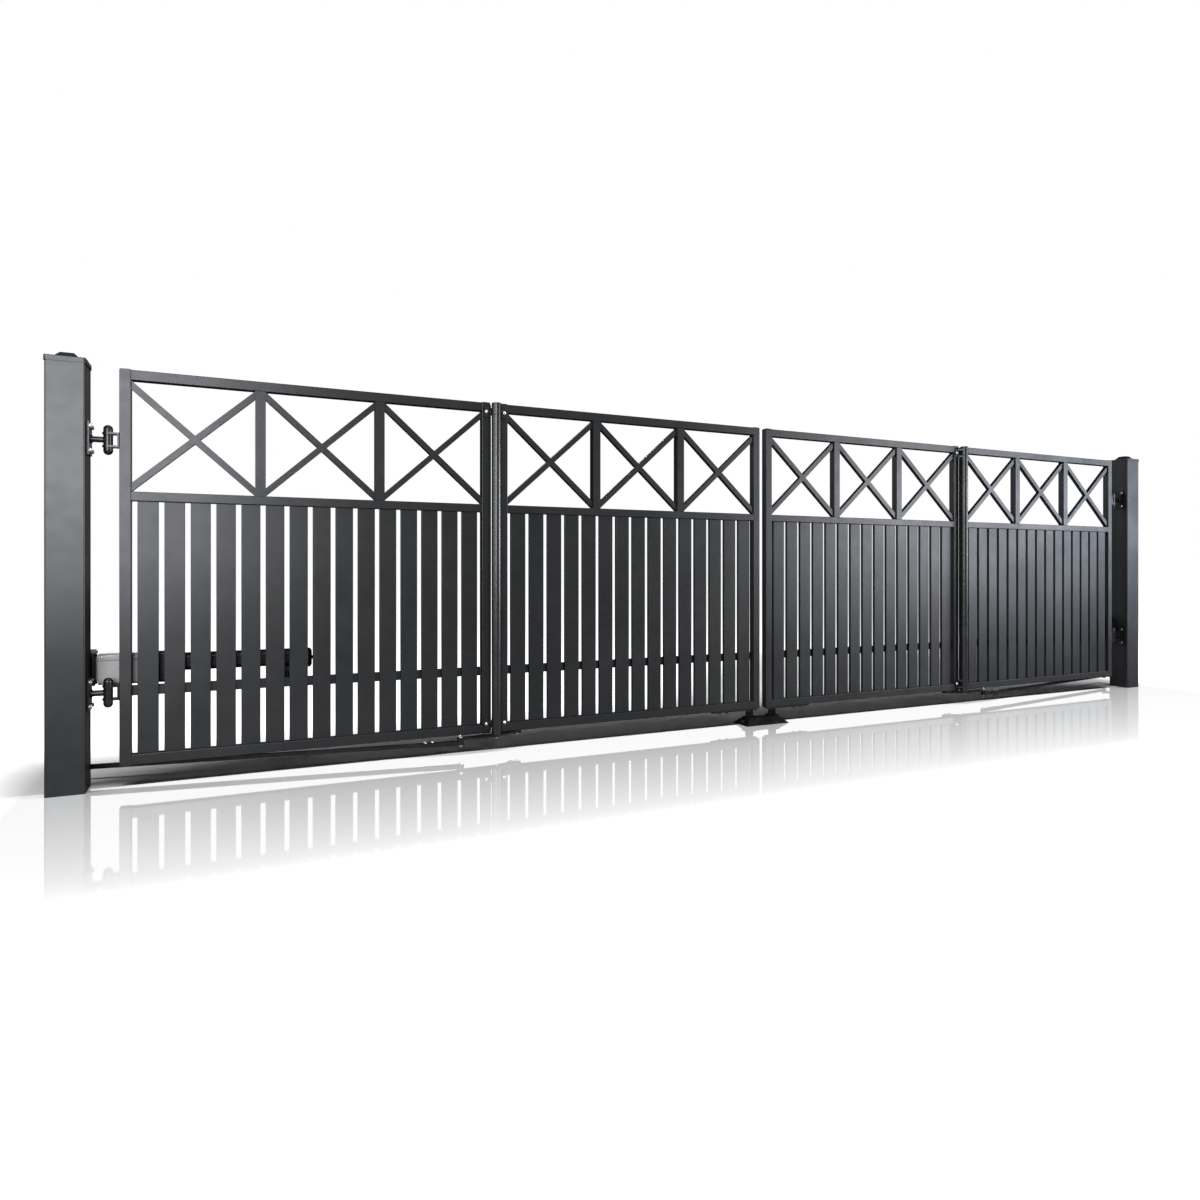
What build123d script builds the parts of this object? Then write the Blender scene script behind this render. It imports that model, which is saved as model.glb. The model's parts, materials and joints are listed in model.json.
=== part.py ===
from build123d import *
import math
import os

# Bi-fold driveway gate: two posts, and on each a pair of leaves that fold front to front.
# X runs along the gate, Y away from the street side, Z is up.
# The origin is the centre of the left post's foot, and the leaves' mid-plane is Y = 0.
# The left half is built, and its mirror image is the right half.

# Posts and their caps
post_width = 130.0
post_corner = 6.0
post_top = 1647.0
cap_wall = 3.0
cap_rim = 20.0
cap_edge = 2.0
cap_crown = 23.0
cap_crown_base = 90.0
cap_flat = 48.0
cap_crown_round = 3.0

# Leaves
post_gap = 105.0
leaf_width = 1495.0
fold_gap = 45.0
centre_gap = 43.0
leaf_bottom = 84.0
leaf_height = 1547.0
tube_size = 40.0
tube_corner = 2.5
mid_rail_height = 37.0
board_zone = 994.0
board_width = 73.0
board_thickness = 15.0
board_recess = 12.0
board_corner = 1.5
board_gap = 20.0
cross_rail_rise = 228.0
cross_rail_height = 40.0
bay_count = 3
mullion_width = 40.0
bar_size = 25.0

# Hinges between post and leaf
hinge_heights = (370.0, 1353.0)
hinge_reach = 39.0
hinge_plate = (8.0, 74.0, 127.0)
hinge_arm_radius = 11.5
hinge_collar_radius = 15.0
hinge_collar_length = 6.0
barrel_radius = 16.5
barrel_height = 43.0
barrel_cap_straight = 12.7
clevis_plate = 7.5
clevis_back = 7.0
clevis_width = 40.0
pin_radius = 8.0
pin_clearance = 0.08
end_clearance = 0.3

# Fold hinge between the two leaves of a pair
fold_radius = 22.5
fold_drop_from_leaf = 7.0
fold_pin_radius = 10.0
strap_inset = 43.5
strap_height = 51.0
strap_thickness = 6.0
strap_length = 33.0
strap_arm = 10.0
knuckle_height = 31.0

# Folding rod and its crank
crank_arm = 172.0
crank_thickness = 9.5
crank_width = 34.0
crank_hold = 130.0
crank_drop = 5.5
crank_pad = 60.0
rod_height = 18.0
rod_width = 14.0
rod_drop = 6.0
rod_end_radius = 16.0
rod_end_length = 165.0
rod_end_width = 26.0
rod_pin_radius = 7.0
rod_pin_head_radius = 12.0
rod_pin_head_height = 6.0
rod_stud_height = 4.5
rod_lug_thickness = 9.0
rod_lug_width = 44.0
rod_lug_height = 60.0
bracket_plate = 8.0

# Drive behind the post leaf
drive_pivot_out = 5.0
drive_pivot_back = 15.0
drive_low = 393.0
drive_high = 517.0
drive_width = 56.0
drive_start = 20.0
housing_length = 177.0
head_length = 78.0
housing_corner = 10.0
tail_radius = 13.0
tail_neck = 20.0
lug_radius = 15.0
lug_thickness = 8.0
lug_inset = 4.0
lug_clearance = 0.5
drive_pin_radius = 6.0
knob_radius = 12.0
knob_height = 21.0
drive_plate_width = 55.0
drive_plate_inset = 15.0
screw_tube_height = 71.0
screw_tube_width = 50.0
screw_tube_corner = 18.0
screw_tube_past = 83.0
screw_tube_drop = 10.0
end_cap_length = 18.0
end_cap_size = (58.0, 83.0)
end_cap_corner = 24.0
end_cap_round = 14.0
end_cap_drop = 5.5
slot_width = 14.0
slot_depth = 14.0
slot_spare = 18.0
carriage_reach = 712.0
carriage_travel = 141.0
carriage_size = (60.0, 40.0, 22.0)
carriage_gap = 3.0
neck_length = 36.0
neck_height = 14.7
open_pivot_gap = 2.0
arm_plate = (74.0, 6.0)
arm_shelf_width = 54.0
arm_shelf_thickness = 8.0
arm_boss_radius = 18.0
arm_reach_past = 20.0

# Floor stop and the legs that come down on it
stop_base = (280.0, 140.0)
stop_top = (200.0, 65.0)
stop_height = 34.0
leg_radius = 6.0
leg_offsets = (64.5, 90.0)
leg_clearance = 5.0
leg_plate = (286.0, 34.0, 8.0)
leg_plate_inset = 14.0

# Places that follow from the sizes
post_face = post_width / 2
inner_start = post_face + post_gap
inner_end = inner_start + leaf_width
outer_start = inner_end + fold_gap
outer_end = outer_start + leaf_width
gate_centre = outer_end + centre_gap / 2
centre_plane = Plane.YZ.offset(gate_centre)
leaf_top = leaf_bottom + leaf_height
half_tube = tube_size / 2
board_bottom = leaf_bottom + tube_size
board_top = board_bottom + board_zone
mid_rail_top = board_top + mid_rail_height
board_front = board_recess - half_tube
board_back = board_front + board_thickness
hinge_x = inner_start - hinge_reach
fold_x = inner_end + fold_gap / 2
fold_y = -half_tube - fold_radius
fold_top = leaf_top - fold_drop_from_leaf
strap_heights = (leaf_bottom + strap_inset, leaf_top - strap_inset)
crank_top = leaf_bottom - crank_drop
crank_low = crank_top - crank_thickness
cross_low = board_bottom + cross_rail_rise
cross_high = cross_low + cross_rail_height
drive_pivot = (post_face + drive_pivot_out, post_face + drive_pivot_back)

os.makedirs("parts", exist_ok=True)


def bar(x, y, z):
    # A straight bar between two corners, each given as (from, to) along one axis
    with Locations(((x[0] + x[1]) / 2, (y[0] + y[1]) / 2, (z[0] + z[1]) / 2)):
        Box(x[1] - x[0], y[1] - y[0], z[1] - z[0])


def upright(x, y, radius, z):
    # A round bar standing on (x, y) between two heights
    with Locations((x, y, (z[0] + z[1]) / 2)):
        Cylinder(radius, z[1] - z[0])


def save(piece, name):
    piece.part.label = name
    export_step(piece.part, f"parts/{name}.step")


def save_pair(piece, name):
    # The piece as built is the left one, and the right one is its mirror image
    save(piece, "left_" + name)
    with BuildPart() as twin:
        mirror(piece.part, about=centre_plane)
    save(twin, "right_" + name)


def make_leaf(name, start):
    # One leaf of four nodes: stiles, rails, lattice and boards
    end = start + leaf_width
    inside = (start + tube_size, end - tube_size)

    with BuildPart() as stiles:
        for left in (start, end - tube_size):
            bar((left, left + tube_size), (-half_tube, half_tube), (leaf_bottom, leaf_top))
        fillet(stiles.edges().filter_by(Axis.Z), tube_corner)
    save_pair(stiles, name + "_stiles")

    rail_zones = (
        (leaf_bottom, board_bottom),
        (board_top, mid_rail_top),
        (leaf_top - tube_size, leaf_top),
    )
    with BuildPart() as rails:
        for zone in rail_zones:
            bar(inside, (-half_tube, half_tube), zone)
        fillet(rails.edges().filter_by(Axis.X), tube_corner)
        bar(inside, (board_back, half_tube), (cross_low, cross_high))
    save_pair(rails, name + "_rails")

    bay_low = mid_rail_top
    bay_high = leaf_top - tube_size
    bay_height = bay_high - bay_low
    bay_width = (inside[1] - inside[0] - (bay_count - 1) * mullion_width) / bay_count
    diagonal = math.hypot(bay_width, bay_height)
    slope = math.degrees(math.acos(bar_size / diagonal) - math.atan2(bay_width, bay_height))
    with BuildPart() as lattice:
        for bay in range(bay_count):
            bay_left = inside[0] + bay * (bay_width + mullion_width)
            bay_middle = (bay_left + bay_width / 2, (bay_low + bay_high) / 2)
            with BuildSketch(Plane.XZ):
                with Locations(bay_middle):
                    Rectangle(2 * diagonal, bar_size, rotation=slope)
                    Rectangle(2 * diagonal, bar_size, rotation=-slope)
                    Rectangle(bay_width, bay_height, mode=Mode.INTERSECT)
            extrude(amount=bar_size / 2, both=True)
            if bay > 0:
                bar((bay_left - mullion_width, bay_left), (-half_tube, half_tube), (bay_low, bay_high))
    save_pair(lattice, name + "_lattice")

    board_count = round((inside[1] - inside[0] - board_gap) / (board_width + board_gap))
    spare = inside[1] - inside[0] - board_count * board_width
    pitch = board_width + spare / (board_count + 1)
    with BuildPart() as boards:
        for board in range(board_count):
            left = inside[0] + pitch - board_width + board * pitch
            bar((left, left + board_width), (board_front, board_back), (board_bottom, board_top))
        fillet(boards.edges().filter_by(Axis.Z), board_corner)
    save_pair(boards, name + "_boards")


# Post: a square tube closed by a cap
with BuildPart() as post:
    bar((-post_face, post_face), (-post_face, post_face), (0, post_top))
    fillet(post.edges().filter_by(Axis.Z), post_corner)
save_pair(post, "post")

# Cap: a bevelled rim round the head of the post, and a low crown inside its ledge
rim_width = post_width + 2 * cap_wall
rim_top = post_top + cap_wall
with BuildPart() as post_cap:
    with BuildSketch(Plane.XY.offset(rim_top - cap_rim)):
        RectangleRounded(rim_width, rim_width, post_corner + cap_wall)
    extrude(amount=cap_rim)
    with BuildSketch(Plane.XY.offset(rim_top - cap_rim)):
        RectangleRounded(post_width, post_width, post_corner)
    extrude(amount=cap_rim - cap_wall, mode=Mode.SUBTRACT)
    chamfer(post_cap.faces().sort_by(Axis.Z)[-1].edges(), cap_edge)
    with BuildSketch(Plane.XY.offset(rim_top)):
        RectangleRounded(cap_crown_base, cap_crown_base, post_corner + cap_crown_round)
    with BuildSketch(Plane.XY.offset(rim_top + cap_crown)):
        RectangleRounded(cap_flat, cap_flat, post_corner)
    loft()
    fillet(post_cap.faces().sort_by(Axis.Z)[-1].edges(), cap_crown_round)
save_pair(post_cap, "post_cap")

# Post hinges: plate, round arm and a barrel whose pin carries the clevis
clevis_low = barrel_height / 2
clevis_high = clevis_low + clevis_plate
barrel_end = clevis_low - end_clearance
cap_start = clevis_high + end_clearance
cap_end = cap_start + barrel_cap_straight
with BuildPart() as post_hinges:
    for height in hinge_heights:
        bar(
            (post_face, post_face + hinge_plate[0]),
            (-hinge_plate[1] / 2, hinge_plate[1] / 2),
            (height - hinge_plate[2] / 2, height + hinge_plate[2] / 2),
        )
        collar_start = post_face + hinge_plate[0]
        with Locations((collar_start + hinge_collar_length / 2, 0, height)):
            Cylinder(hinge_collar_radius, hinge_collar_length, rotation=(0, 90, 0))
        with Locations(((collar_start + hinge_x) / 2, 0, height)):
            Cylinder(hinge_arm_radius, hinge_x - collar_start, rotation=(0, 90, 0))
        with BuildSketch(Plane((hinge_x, 0, height), x_dir=(1, 0, 0), z_dir=(0, -1, 0))):
            with BuildLine():
                Polyline(
                    (0, -cap_end - barrel_radius),
                    (0, cap_end + barrel_radius),
                )
                RadiusArc((0, cap_end + barrel_radius), (barrel_radius, cap_end), barrel_radius)
                Polyline(
                    (barrel_radius, cap_end),
                    (barrel_radius, cap_start),
                    (pin_radius, cap_start),
                    (pin_radius, barrel_end),
                    (barrel_radius, barrel_end),
                    (barrel_radius, -barrel_end),
                    (pin_radius, -barrel_end),
                    (pin_radius, -cap_start),
                    (barrel_radius, -cap_start),
                    (barrel_radius, -cap_end),
                )
                RadiusArc((barrel_radius, -cap_end), (0, -cap_end - barrel_radius), barrel_radius)
            make_face()
        revolve(axis=Axis((hinge_x, 0, height), (0, 0, 1)))
save_pair(post_hinges, "post_hinges")

# Clevises: two plates round the pin, and a back plate on the edge of the stile
with BuildPart() as hinge_clevises:
    for height in hinge_heights:
        bar(
            (inner_start - clevis_back, inner_start),
            (-clevis_width / 2, clevis_width / 2),
            (height - clevis_high, height + clevis_high),
        )
        for low in (height - clevis_high, height + clevis_low):
            with BuildSketch(Plane.XY.offset(low)):
                with Locations((hinge_x, 0)):
                    Circle(clevis_width / 2)
                with Locations(((hinge_x + inner_start - clevis_back) / 2, 0)):
                    Rectangle(hinge_reach - clevis_back, clevis_width)
                with Locations((hinge_x, 0)):
                    Circle(pin_radius + pin_clearance, mode=Mode.SUBTRACT)
            extrude(amount=clevis_plate)
save_pair(hinge_clevises, "hinge_clevises")

# The leaf on the post and the leaf folded against it
make_leaf("inner", inner_start)
make_leaf("outer", outer_start)

# Fold hinge: the tube on the front belongs to the outer leaf and is cut for two knuckles,
# and each knuckle has a strap on the inner leaf. Above and below it the tube has its own arms.
knuckle_half = knuckle_height / 2
strap_half = strap_height / 2
strap_front = -half_tube - strap_thickness
arm_corner = fold_gap / 2 + strap_arm
arm_zones = ((-strap_half, -knuckle_half - end_clearance), (knuckle_half + end_clearance, strap_half))
with BuildPart() as fold_tube:
    upright(fold_x, fold_y, fold_radius, (crank_top, fold_top))
    for height in strap_heights:
        bar(
            (outer_start, outer_start + strap_length),
            (strap_front, -half_tube),
            (height - strap_half, height + strap_half),
        )
        for zone in arm_zones:
            with BuildSketch(Plane.XY.offset(height + zone[0])):
                with Locations((fold_x, fold_y)):
                    Circle(fold_radius)
                with Locations((fold_x + arm_corner - strap_arm / 2, -half_tube - strap_thickness / 2)):
                    Rectangle(strap_arm, strap_thickness)
                make_hull()
            extrude(amount=zone[1] - zone[0])
        with Locations((fold_x, fold_y, height)):
            Box(fold_gap, 2 * fold_radius, knuckle_height + 2 * end_clearance, mode=Mode.SUBTRACT)
    upright(fold_x, fold_y, fold_pin_radius, (crank_top, fold_top))
save_pair(fold_tube, "fold_tube")

with BuildPart() as fold_straps:
    for height in strap_heights:
        bar(
            (inner_end - strap_length, inner_end),
            (strap_front, -half_tube),
            (height - strap_half, height + strap_half),
        )
        with BuildSketch(Plane.XY.offset(height - knuckle_half)):
            with Locations((fold_x, fold_y)):
                Circle(fold_radius)
            with Locations((fold_x - arm_corner + strap_arm / 2, -half_tube - strap_thickness / 2)):
                Rectangle(strap_arm, strap_thickness)
            make_hull()
        extrude(amount=knuckle_height)
        with Locations((fold_x, fold_y, height)):
            Cylinder(fold_pin_radius + pin_clearance, strap_height, mode=Mode.SUBTRACT)
save_pair(fold_straps, "fold_straps")

# Crank: a lever under the fold tube's foot, bolted up to the outer leaf through a pad
crank_end = (fold_x - crank_arm, fold_y)
hold_point = (fold_x + crank_hold - crank_width / 2, 0)
with BuildPart() as crank:
    for far_point in (crank_end, hold_point):
        with BuildSketch(Plane.XY.offset(crank_low)):
            with Locations(far_point):
                Circle(crank_width / 2)
            with Locations((fold_x, fold_y)):
                Circle(fold_radius)
            make_hull()
        extrude(amount=crank_thickness)
    pad_end = fold_x + crank_hold
    bar((pad_end - crank_pad, pad_end), (-crank_width / 2, crank_width / 2), (crank_low, leaf_bottom))
save_pair(crank, "crank")

# Folding rod: from a pin behind the post's foot to the end of the crank
rod_pivot = (hinge_x - crank_arm, crank_arm)
rod_top = crank_low - rod_drop
rod_low = rod_top - rod_height
rod_length = math.hypot(crank_end[0] - rod_pivot[0], crank_end[1] - rod_pivot[1])
rod_turn = math.degrees(math.atan2(crank_end[1] - rod_pivot[1], crank_end[0] - rod_pivot[0]))
rod_plane = Plane(rod_pivot + (rod_low,)).rotated((0, 0, rod_turn))
with BuildPart() as control_rod:
    with BuildSketch(rod_plane):
        with Locations((rod_length / 2, 0)):
            Rectangle(rod_length, rod_width)
        with Locations((0, 0), (rod_length, 0)):
            Circle(rod_end_radius)
        with Locations((rod_length - rod_end_length / 2, 0)):
            Rectangle(rod_end_length, rod_end_width)
        with Locations((0, 0)):
            Circle(rod_pin_radius + pin_clearance, mode=Mode.SUBTRACT)
    extrude(amount=rod_height)
    upright(*crank_end, rod_pin_head_radius, (rod_top, rod_top + rod_stud_height))
save_pair(control_rod, "control_rod")

# Post brackets: a fork for the drive's tail, and a lug with a pin for the folding rod
lug_zones = (
    (drive_low + lug_inset, drive_low + lug_inset + lug_thickness),
    (drive_high - lug_inset - lug_thickness, drive_high - lug_inset),
)
drive_plate = (post_face - drive_plate_inset - drive_plate_width, post_face - drive_plate_inset)
with BuildPart() as post_brackets:
    bar(drive_plate, (post_face, post_face + bracket_plate), (drive_low, drive_high))
    for zone in lug_zones:
        with BuildSketch(Plane.XY.offset(zone[0])):
            with Locations(drive_pivot):
                Circle(lug_radius)
            with Locations((sum(drive_plate) / 2, post_face + bracket_plate / 2)):
                Rectangle(drive_plate_width, bracket_plate)
            make_hull()
        extrude(amount=lug_thickness)
    upright(*drive_pivot, drive_pin_radius, (lug_zones[0][0], lug_zones[1][1]))
    upright(*drive_pivot, knob_radius, (lug_zones[1][1], lug_zones[1][1] + knob_height))
    lug_low = rod_top + lug_clearance
    lug_top = lug_low + rod_lug_thickness
    bar(
        (rod_pivot[0] - rod_lug_width / 2, rod_pivot[0] + rod_lug_width / 2),
        (post_face, post_face + bracket_plate),
        (lug_low, lug_low + rod_lug_height),
    )
    with BuildSketch(Plane.XY.offset(lug_low)):
        with Locations(rod_pivot):
            Circle(rod_lug_width / 2)
        with Locations((rod_pivot[0], post_face + bracket_plate / 2)):
            Rectangle(rod_lug_width, bracket_plate)
        make_hull()
    extrude(amount=rod_lug_thickness)
    head_top = rod_low - lug_clearance
    upright(*rod_pivot, rod_pin_radius, (head_top, lug_top))
    upright(*rod_pivot, rod_pin_head_radius, (head_top - rod_pin_head_height, head_top))
save_pair(post_brackets, "post_brackets")

# Drive housing: the gear case with the tail that hangs in the post's fork
housing_start = drive_pivot[0] + drive_start
housing_end = housing_start + housing_length
tail_zone = (lug_zones[0][1] + lug_clearance, lug_zones[1][0] - lug_clearance)
with BuildPart() as drive_housing:
    bar(
        (housing_start, housing_end),
        (drive_pivot[1] - drive_width / 2, drive_pivot[1] + drive_width / 2),
        (drive_low, drive_high),
    )
    fillet(drive_housing.edges().filter_by(Axis.X), housing_corner)
    upright(*drive_pivot, tail_radius, tail_zone)
    bar(
        (drive_pivot[0], housing_start),
        (drive_pivot[1] - tail_neck / 2, drive_pivot[1] + tail_neck / 2),
        tail_zone,
    )
    with Locations((*drive_pivot, (tail_zone[0] + tail_zone[1]) / 2)):
        Cylinder(drive_pin_radius + pin_clearance, drive_high - drive_low, mode=Mode.SUBTRACT)
save_pair(drive_housing, "drive_housing")

# Drive tube: a head as tall as the housing, then the screw's tube with a slot in its underside
# and a rounded cap on its end
carriage_x = drive_pivot[0] + carriage_reach
screw_high = drive_high - screw_tube_drop
screw_low = screw_high - screw_tube_height
screw_middle = (screw_low + screw_high) / 2
tube_end = carriage_x + screw_tube_past
head_end = housing_end + head_length
slot_start = carriage_x - neck_length / 2 - carriage_travel - slot_spare
slot_end = carriage_x + neck_length / 2 + slot_spare
with BuildPart() as drive_tube:
    bar(
        (housing_end, head_end),
        (drive_pivot[1] - drive_width / 2, drive_pivot[1] + drive_width / 2),
        (drive_low, drive_high),
    )
    fillet(drive_tube.edges().filter_by(Axis.X), housing_corner)
    with BuildSketch(Plane((head_end, drive_pivot[1], screw_middle), x_dir=(0, 1, 0), z_dir=(1, 0, 0))):
        RectangleRounded(screw_tube_width, screw_tube_height, screw_tube_corner)
    extrude(amount=tube_end - head_end)
    cap_middle = (tube_end, drive_pivot[1], screw_middle - end_cap_drop)
    with BuildSketch(Plane(cap_middle, x_dir=(0, 1, 0), z_dir=(1, 0, 0))):
        RectangleRounded(*end_cap_size, end_cap_corner)
    extrude(amount=end_cap_length)
    fillet(drive_tube.faces().sort_by(Axis.X)[-1].edges(), end_cap_round)
    with Locations(((slot_start + slot_end) / 2, drive_pivot[1], screw_low + slot_depth / 2)):
        Box(slot_end - slot_start, slot_width, slot_depth, mode=Mode.SUBTRACT)
save_pair(drive_tube, "drive_tube")

# Carriage: the nut's block under the tube, with its neck in the slot
carriage_top = screw_low - carriage_gap
carriage_low = carriage_top - carriage_size[2]
neck_width = slot_width - 2 * end_clearance
with BuildPart() as drive_carriage:
    bar(
        (carriage_x - carriage_size[0] / 2, carriage_x + carriage_size[0] / 2),
        (drive_pivot[1] - carriage_size[1] / 2, drive_pivot[1] + carriage_size[1] / 2),
        (carriage_low, carriage_top),
    )
    bar(
        (carriage_x - neck_length / 2, carriage_x + neck_length / 2),
        (drive_pivot[1] - neck_width / 2, drive_pivot[1] + neck_width / 2),
        (carriage_top, carriage_top + neck_height),
    )
save_pair(drive_carriage, "drive_carriage")

# Carriage arm: plate, shelf and boss on the back of the inner leaf's cross rail
with BuildPart() as carriage_arm:
    bar(
        (carriage_x - arm_plate[0] / 2, carriage_x + arm_plate[0] / 2),
        (half_tube, half_tube + arm_plate[1]),
        (cross_low, cross_high),
    )
    bar(
        (carriage_x - arm_shelf_width / 2, carriage_x + arm_shelf_width / 2),
        (half_tube, drive_pivot[1] + arm_reach_past),
        (cross_high - arm_shelf_thickness, cross_high),
    )
    upright(carriage_x, drive_pivot[1], arm_boss_radius, (cross_high, carriage_low - open_pivot_gap))
save_pair(carriage_arm, "carriage_arm")

# Stop legs: a plate under the free end of the outer leaf, with two legs
leg_plate_end = outer_end - leg_plate_inset
with BuildPart() as stop_legs:
    bar(
        (leg_plate_end - leg_plate[0], leg_plate_end),
        (-leg_plate[1] / 2, leg_plate[1] / 2),
        (leaf_bottom - leg_plate[2], leaf_bottom),
    )
    for offset in leg_offsets:
        upright(gate_centre - offset, 0, leg_radius, (stop_height + leg_clearance, leaf_bottom))
save_pair(stop_legs, "stop_legs")

# Floor stop: a low block with sloping sides, fixed to the ground at the middle of the gate
with BuildPart() as floor_stop:
    with BuildSketch(Plane((gate_centre, 0, 0))):
        Rectangle(*stop_base)
    with BuildSketch(Plane((gate_centre, 0, stop_height))):
        Rectangle(*stop_top)
    loft()
save(floor_stop, "floor_stop")
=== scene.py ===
import json
import math
import bpy
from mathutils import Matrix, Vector

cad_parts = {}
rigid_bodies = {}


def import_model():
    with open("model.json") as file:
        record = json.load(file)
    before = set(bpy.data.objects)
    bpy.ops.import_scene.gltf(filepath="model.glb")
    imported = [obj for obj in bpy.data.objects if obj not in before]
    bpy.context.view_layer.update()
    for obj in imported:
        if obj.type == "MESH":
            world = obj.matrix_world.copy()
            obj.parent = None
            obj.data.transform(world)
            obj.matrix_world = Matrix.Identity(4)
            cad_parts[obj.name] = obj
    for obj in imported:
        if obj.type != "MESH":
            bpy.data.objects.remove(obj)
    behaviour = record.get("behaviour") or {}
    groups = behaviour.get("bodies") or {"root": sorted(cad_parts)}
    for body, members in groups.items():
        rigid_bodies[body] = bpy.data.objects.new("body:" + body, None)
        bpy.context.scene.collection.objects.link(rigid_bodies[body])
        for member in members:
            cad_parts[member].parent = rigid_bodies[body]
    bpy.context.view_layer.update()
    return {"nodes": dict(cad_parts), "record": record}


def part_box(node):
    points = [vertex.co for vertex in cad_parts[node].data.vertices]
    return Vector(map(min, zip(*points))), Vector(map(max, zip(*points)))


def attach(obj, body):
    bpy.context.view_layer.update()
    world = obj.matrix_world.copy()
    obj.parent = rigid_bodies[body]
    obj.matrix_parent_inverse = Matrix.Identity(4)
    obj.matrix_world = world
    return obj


# Bi-fold driveway gate: finishes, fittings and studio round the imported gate, all in metres
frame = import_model()
print("gate loaded:", len(frame["nodes"]), "nodes")


def clearSelection():
    if bpy.context.mode != "OBJECT":
        bpy.ops.object.mode_set(mode="OBJECT")
    bpy.ops.object.select_all(action="DESELECT")


# Camera, standing left of the middle and looking along the gate at eye height of the rails
cameraLook = {"place": (0.5817, -3.5722, 0.8472), "turn": 24.92, "lens": 23.51, "sensor": 36, "shift": -0.025}


def placeCamera(look):
    clearSelection()
    turned = (math.radians(90), 0, math.radians(-look["turn"]))
    bpy.ops.object.camera_add(location=look["place"], rotation=turned)
    camera = bpy.context.object
    camera.name = "gateCamera"
    camera.data.lens = look["lens"]
    camera.data.sensor_width = look["sensor"]
    camera.data.shift_y = look["shift"]
    bpy.context.scene.camera = camera
    print("camera placed")


placeCamera(cameraLook)


# Material helpers: each node is added by hand and linked by socket name
class Shader:
    def __init__(self, name):
        self.material = bpy.data.materials.new(name)
        self.material.use_nodes = True
        self.tree = self.material.node_tree
        self.surface = self.tree.nodes["Principled BSDF"]
        self.place = self.tree.nodes.new("ShaderNodeTexCoord").outputs["Object"]

    def link(self, source, target):
        self.tree.links.new(source, target)

    def scaled(self, scale):
        mapping = self.tree.nodes.new("ShaderNodeMapping")
        mapping.inputs["Scale"].default_value = scale
        self.link(self.place, mapping.inputs["Vector"])
        return mapping.outputs["Vector"]

    def noise(self, size, detail=2.0, rough=0.5, stretch=(1, 1, 1)):
        noise = self.tree.nodes.new("ShaderNodeTexNoise")
        noise.inputs["Scale"].default_value = 1 / size
        noise.inputs["Detail"].default_value = detail
        noise.inputs["Roughness"].default_value = rough
        self.link(self.scaled(stretch), noise.inputs["Vector"])
        return noise.outputs["Fac"]

    def ramp(self, source, stops):
        ramp = self.tree.nodes.new("ShaderNodeValToRGB")
        for index, (position, colour) in enumerate(stops):
            if index > 1:
                ramp.color_ramp.elements.new(position)
            ramp.color_ramp.elements[index].position = position
            ramp.color_ramp.elements[index].color = (*colour, 1)
        self.link(source, ramp.inputs["Fac"])
        return ramp.outputs["Color"]

    def stretch(self, source, start, end, low, high):
        spread = self.tree.nodes.new("ShaderNodeMapRange")
        spread.inputs["From Min"].default_value = start
        spread.inputs["From Max"].default_value = end
        spread.inputs["To Min"].default_value = low
        spread.inputs["To Max"].default_value = high
        self.link(source, spread.inputs["Value"])
        return spread.outputs["Result"]

    def spread(self, source, low, high):
        return self.stretch(source, *rampEnds, low, high)

    def math(self, operation, first, second):
        step = self.tree.nodes.new("ShaderNodeMath")
        step.operation = operation
        self.link(first, step.inputs[0])
        if isinstance(second, (int, float)):
            step.inputs[1].default_value = second
        else:
            self.link(second, step.inputs[1])
        return step.outputs["Value"]

    def bump(self, source, height, before=None):
        bump = self.tree.nodes.new("ShaderNodeBump")
        bump.inputs["Strength"].default_value = 1.0
        bump.inputs["Distance"].default_value = height
        self.link(source, bump.inputs["Height"])
        if before:
            self.link(before, bump.inputs["Normal"])
        return bump.outputs["Normal"]


# Powder coat: fine grain, a slow waviness and slightly uneven gloss, with a low edge tint for dark flanks
coatLooks = {
    "frame_coat": {"dark": (0.0178, 0.0184, 0.0196), "light": (0.0216, 0.0223, 0.0236), "gloss": (0.31, 0.36)},
    "board_coat": {"dark": (0.0171, 0.0177, 0.0189), "light": (0.0208, 0.0215, 0.0228), "gloss": (0.32, 0.37)},
    "fold_coat": {"dark": (0.0202, 0.0208, 0.0216), "light": (0.0252, 0.0258, 0.0266), "gloss": (0.24, 0.30)},
    "cap_coat": {"dark": (0.0171, 0.0177, 0.0189), "light": (0.0208, 0.0215, 0.0228), "gloss": (0.31, 0.36)},
}
coatShine = {"metal": 0.8, "level": 0.0, "edge": (0.235, 0.235, 0.235)}
coatGrain = {
    "cloud": 0.35, "patch": 0.06, "wave": 0.012, "waveHeight": 0.00003, "grain": 0.0011, "grainHeight": 0.00005,
}
partGrain = {"cloud": 0.05, "patch": 0.015, "grain": 0.0009, "grainHeight": 0.00004}
rampEnds = (0.3, 0.7)


def setColour(paint, cloud, look):
    stops = list(zip(rampEnds, (look["dark"], look["light"])))
    paint.link(paint.ramp(cloud, stops), paint.surface.inputs["Base Color"])


def setShine(paint, shine):
    paint.surface.inputs["Metallic"].default_value = shine["metal"]
    paint.surface.inputs["Specular IOR Level"].default_value = shine["level"]
    paint.surface.inputs["Specular Tint"].default_value = (*shine["edge"], 1)


def coatFinish(name, look):
    coat = Shader(name)
    setColour(coat, coat.noise(coatGrain["cloud"], 3.0), look)
    coat.link(coat.spread(coat.noise(coatGrain["patch"], 2.0), *look["gloss"]), coat.surface.inputs["Roughness"])
    wave = coat.bump(coat.noise(coatGrain["wave"], 1.0), coatGrain["waveHeight"])
    grain = coat.bump(coat.noise(coatGrain["grain"], 2.0), coatGrain["grainHeight"], wave)
    coat.link(grain, coat.surface.inputs["Normal"])
    setShine(coat, coatShine)
    return coat.material


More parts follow.
